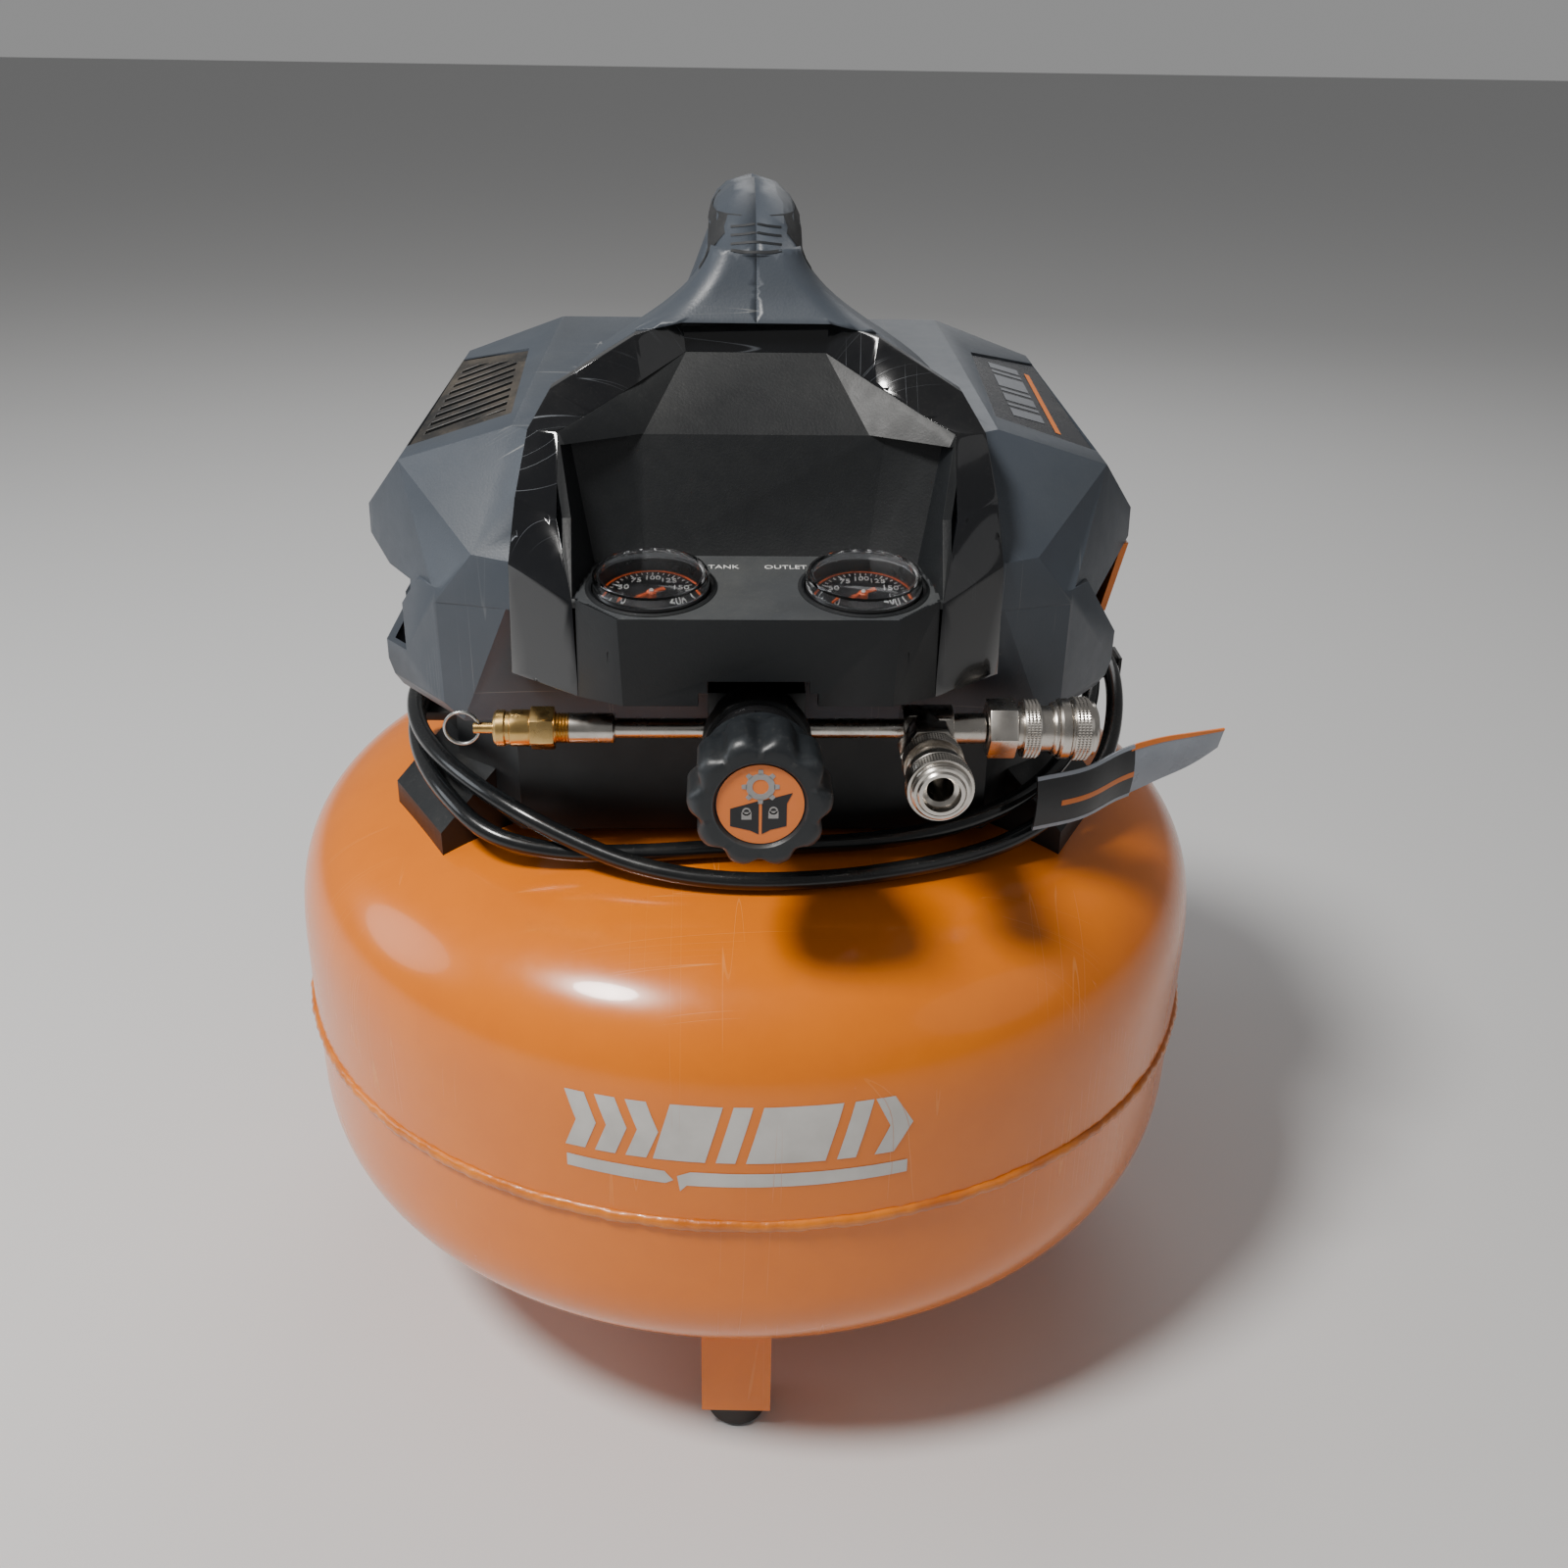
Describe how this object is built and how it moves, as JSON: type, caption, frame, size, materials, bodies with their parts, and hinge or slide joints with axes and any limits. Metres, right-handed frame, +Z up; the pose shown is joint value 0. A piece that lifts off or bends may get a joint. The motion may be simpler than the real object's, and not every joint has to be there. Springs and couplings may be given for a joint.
{
  "type": "pancake air compressor",
  "caption": "Portable pancake air compressor: flat round orange tank on feet, dark moulded shroud with a carry handle, gauges, regulator knob, quick couplers and a wrapped cord.",
  "frame": {"origin": "on the floor under the tank's vertical axis, at the bottom of the rubber feet", "axes": "+Z up; -Y towards the front, where the gauges and the regulator knob face; +X to the right seen from the front"},
  "size_m": [0.3979, 0.398, 0.4792],
  "materials": {
    "tank_paint": "glossy orange enamel over sheet steel, lightly scratched",
    "foot_rubber": "moulded black rubber foot",
    "brass": "machined brass",
    "nickel": "satin nickel plating",
    "zinc_steel": "zinc plated steel",
    "base_plastic": "black moulded plastic, fine texture",
    "grip_rubber": "soft black grip with ribs",
    "shroud_plastic": "dark grey textured moulded plastic",
    "grille_plastic": "black plastic",
    "plate_plastic": "dark satin plate with an orange stripe",
    "trim_orange": "orange moulded trim",
    "bezel_gloss": "gloss black plastic",
    "gauge_case": "black gauge case with a bright rim",
    "gauge_dial": "black dial with white figures and an orange arc",
    "needle_orange": "orange painted needle",
    "lens": "clear domed lens",
    "knob_plastic": "dark grey moulded knob",
    "label_orange": null,
    "switch_red": "red moulded lever",
    "motor_steel": "laminated steel and windings",
    "cast_aluminium": "cast aluminium",
    "copper": "copper tube",
    "cord_jacket": "black glossy PVC jacket",
    "tag_film": "dark film strip with orange stripes"
  },
  "bodies": {
    "frame": {"tank_upper_shell": "tank_paint", "tank_lower_shell": "tank_paint", "tank_weld_bead": "tank_paint", "foot_bracket_front": "tank_paint", "foot_bracket_right": "tank_paint", "foot_bracket_rear": "tank_paint", "foot_bracket_left": "tank_paint", "foot_pads": "foot_rubber", "drain_valve_body": "brass", "base_tray": "base_plastic", "base_legs": "base_plastic", "base_bolts": "zinc_steel", "handle_grip": "grip_rubber", "shroud_left": "shroud_plastic", "shroud_right": "shroud_plastic", "vent_grille": "grille_plastic", "badge_plate": "plate_plastic", "side_trim": "trim_orange", "console_panel": "shroud_plastic", "console_bezel": "bezel_gloss", "gauge_tank_case": "gauge_case", "gauge_tank_dial": "gauge_dial", "gauge_tank_lens": "lens", "gauge_outlet_case": "gauge_case", "gauge_outlet_dial": "gauge_dial", "gauge_outlet_lens": "lens", "regulator_body": "nickel", "regulator_collar": "grille_plastic", "manifold_pipe_left": "nickel", "manifold_pipe_right": "nickel", "manifold_tee": "nickel", "coupler_front_body": "nickel", "coupler_side_body": "nickel", "safety_valve_body": "brass", "pressure_switch": "grille_plastic", "motor_stator": "motor_steel", "crankcase": "cast_aluminium", "cylinder": "cast_aluminium", "cylinder_head": "cast_aluminium", "check_valve": "brass", "discharge_tube": "copper", "power_cord": "cord_jacket", "cord_gland": "cord_jacket", "power_plug": "cord_jacket", "warning_tag": "tag_film"},
    "needle_tank": {"gauge_tank_needle": "needle_orange"},
    "needle_outlet": {"gauge_outlet_needle": "needle_orange"},
    "regulator_stem": {"regulator_spindle": "zinc_steel"},
    "regulator_cap": {"regulator_knob": "knob_plastic", "regulator_label": "label_orange"},
    "front_sleeve": {"coupler_front_sleeve": "nickel"},
    "side_sleeve": {"coupler_side_sleeve": "nickel"},
    "relief_stem": {"safety_valve_stem": "nickel"},
    "pull_ring": {"safety_pull_ring": "zinc_steel"},
    "lever": {"switch_lever": "switch_red"},
    "drain_handle": {"drain_valve_handle": "nickel"},
    "rotor": {"motor_rotor": "zinc_steel", "cooling_fan": "grille_plastic"},
    "piston": {"piston_rod": "cast_aluminium"}
  },
  "joints": [
    {"name": "tank_needle_turn", "type": "hinge", "parent": "frame", "child": "needle_tank", "pos_m": [-0.036, -0.122, 0.3602], "axis": [0, -0.1236, 0.9923], "range_deg": [-270, 0]},
    {"name": "outlet_needle_turn", "type": "hinge", "parent": "frame", "child": "needle_outlet", "pos_m": [0.036, -0.122, 0.3602], "axis": [0, -0.1236, 0.9923], "range_deg": [-270, 0]},
    {"name": "regulator_turn", "type": "hinge", "parent": "frame", "child": "regulator_stem", "pos_m": [0, -0.15, 0.31], "axis": [0, -1, 0], "range_deg": [-720, 720]},
    {"name": "regulator_pull", "type": "slide", "parent": "regulator_stem", "child": "regulator_cap", "axis": [0, -1, 0], "range_m": [0, 0.004]},
    {"name": "front_sleeve_slide", "type": "slide", "parent": "frame", "child": "front_sleeve", "axis": [0, 1, 0], "range_m": [0, 0.004], "stiffness_N_per_m": 800, "springref_m": -0.002},
    {"name": "side_sleeve_slide", "type": "slide", "parent": "frame", "child": "side_sleeve", "axis": [-1, 0, 0], "range_m": [0, 0.004], "stiffness_N_per_m": 800, "springref_m": -0.002},
    {"name": "relief_pull", "type": "slide", "parent": "frame", "child": "relief_stem", "axis": [-1, 0, 0], "range_m": [0, 0.003], "stiffness_N_per_m": 1500, "springref_m": -0.002},
    {"name": "pull_ring_turn", "type": "hinge", "parent": "relief_stem", "child": "pull_ring", "pos_m": [-0.0979, -0.118, 0.306], "axis": [0, 0, 1], "range_deg": [-50, 50]},
    {"name": "switch_turn", "type": "hinge", "parent": "frame", "child": "lever", "pos_m": [-0.1145, -0.047, 0.331], "axis": [1, 0, 0], "range_deg": [-12, 12]},
    {"name": "drain_turn", "type": "hinge", "parent": "frame", "child": "drain_handle", "pos_m": [0, 0, 0.03], "axis": [0, 0, 1], "range_deg": [-720, 0]},
    {"name": "rotor_spin", "type": "hinge", "parent": "frame", "child": "rotor", "pos_m": [0.02, 0.022, 0.318], "axis": [1, 0, 0], "continuous": true},
    {"name": "piston_stroke", "type": "slide", "parent": "frame", "child": "piston", "axis": [0, 0, 1], "range_m": [-0.024, 0]}
  ]
}
